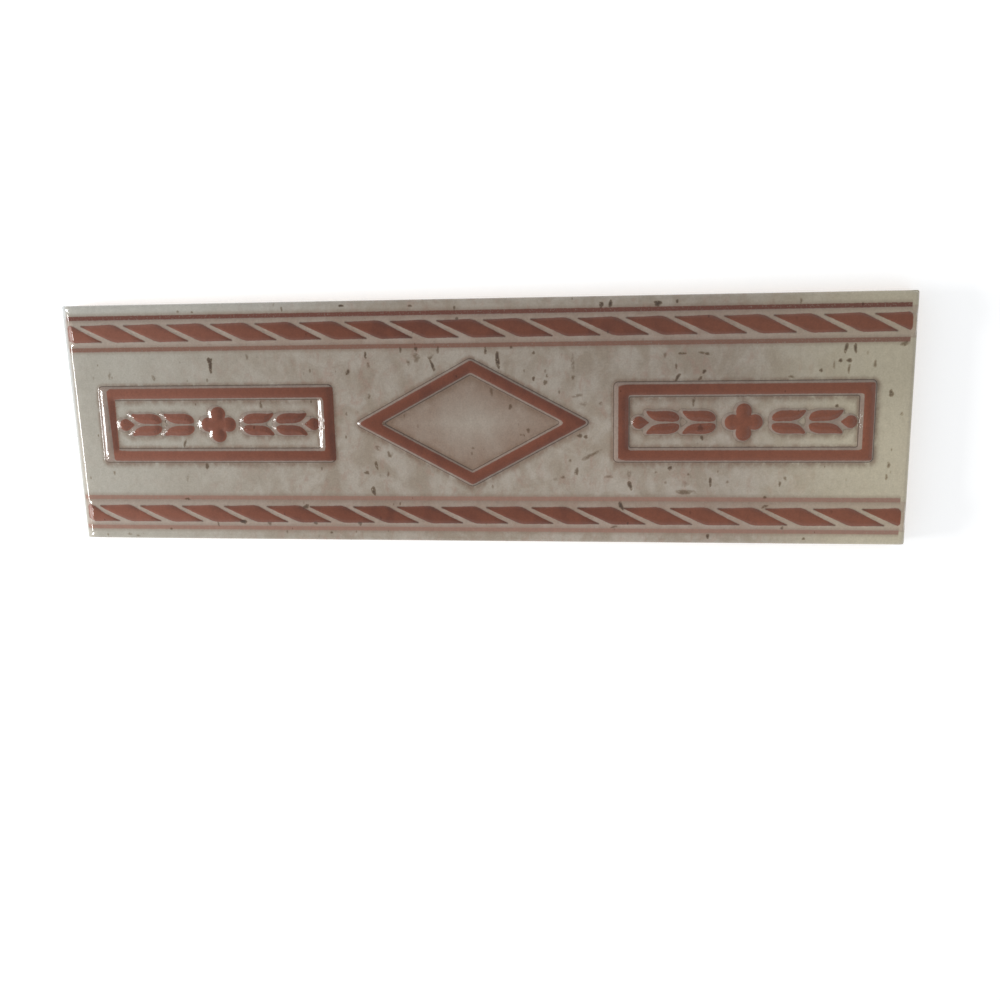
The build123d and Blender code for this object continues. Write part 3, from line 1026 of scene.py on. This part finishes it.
def buildFloor():
    half = studio["floorSize"] * mm / 2
    mesh = bpy.data.meshes.new("studioFloor")
    corners = [(-half, -half, 0), (half, -half, 0), (half, half, 0), (-half, half, 0)]
    mesh.from_pydata(corners, [], [(0, 1, 2, 3)])
    material, tree = emptyMaterial("paintedFloor")
    path = addNode(tree, "ShaderNodeLightPath").outputs
    seen = mathNode(tree, "MAXIMUM", path["Is Camera Ray"], path["Is Glossy Ray"])
    seen = mathNode(tree, "MAXIMUM", seen, path["Is Transmission Ray"])
    lift = mathNode(tree, "MULTIPLY", seen, studio["floorLift"])
    glow = addNode(tree, "ShaderNodeEmission", None, {"Strength": lift})
    paint = addNode(tree, "ShaderNodeBsdfDiffuse", None, {"Color": linear(studio["floorColour"])})
    both = addNode(tree, "ShaderNodeAddShader", None, {0: glow.outputs[0], 1: paint.outputs[0]})
    addNode(tree, "ShaderNodeOutputMaterial", None, {0: both.outputs[0]})
    mesh.materials.append(material)
    addObject("studio_floor", mesh)


def buildSurroundings():
    world = bpy.data.worlds.new("studioWorld")
    world.use_nodes = True
    scene.world = world
    tree = world.node_tree
    direction = addNode(tree, "ShaderNodeNewGeometry").outputs["Incoming"]
    height = addNode(tree, "ShaderNodeSeparateXYZ", None, {0: direction}).outputs["Z"]
    low, high = studio["overheadReach"]
    strength = addNode(tree, "ShaderNodeMapRange", {"interpolation_type": "SMOOTHSTEP"}, {
        "Value": mathNode(tree, "ABSOLUTE", height), "From Min": low, "From Max": high,
        "To Min": studio["worldStrength"], "To Max": studio["overheadStrength"]})
    background = tree.nodes["Background"]
    background.inputs["Color"].default_value = linear(studio["worldColour"])
    tree.links.new(strength.outputs[0], background.inputs["Strength"])


def buildWindow():
    light = bpy.data.lights.new("windowLight", "AREA")
    light.shape = "RECTANGLE"
    light.size, light.size_y = (side * mm for side in studio["windowSize"])
    light.energy = studio["windowPower"]
    window = addObject("window_light", light)
    window.location = [value * mm for value in studio["windowPlace"]]
    window.rotation_euler = (-window.location).to_track_quat("-Z", "Y").to_euler()


# Camera where the photograph was taken from, close above the tile and a little right of its middle
photo = {"place": (41.34, 34.79, 287.79), "turn": (-11.421, 6.386, -1.0436), "lens": 35.64, "sensor": 36.0}


def placeCamera():
    camera = bpy.data.cameras.new("photoCamera")
    camera.lens = photo["lens"]
    camera.sensor_width = photo["sensor"]
    camera.clip_start = 0.01
    holder = addObject("photo_camera", camera)
    x, y, above = photo["place"]
    holder.location = (x * mm, y * mm, (tile["fieldHeight"] + above) * mm)
    holder.rotation_euler = Euler([math.radians(angle) for angle in photo["turn"]])
    scene.camera = holder


def dressTile():
    glazed, bare = glazeMaterial(), clayMaterial()
    mesh = makeMesh("tileBlank")
    mesh.materials.append(glazed)
    mesh.materials.append(bare)
    blank = addObject("tile_blank", mesh)
    print("blank laid out:", len(mesh.vertices), "points,", len(mesh.polygons), "triangles")
    piece = pressed(blank, pressTree(glazed, bare))
    finishes = [material.name for material in piece.data.materials]
    print("relief pressed:", len(piece.data.polygons), "triangles, materials", finishes)
    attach(piece, "root")
    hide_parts("border_tile")


placeCamera()
dressTile()
buildFloor()
buildSurroundings()
buildWindow()
scene.view_settings.view_transform = "Standard"
print("studio lit")
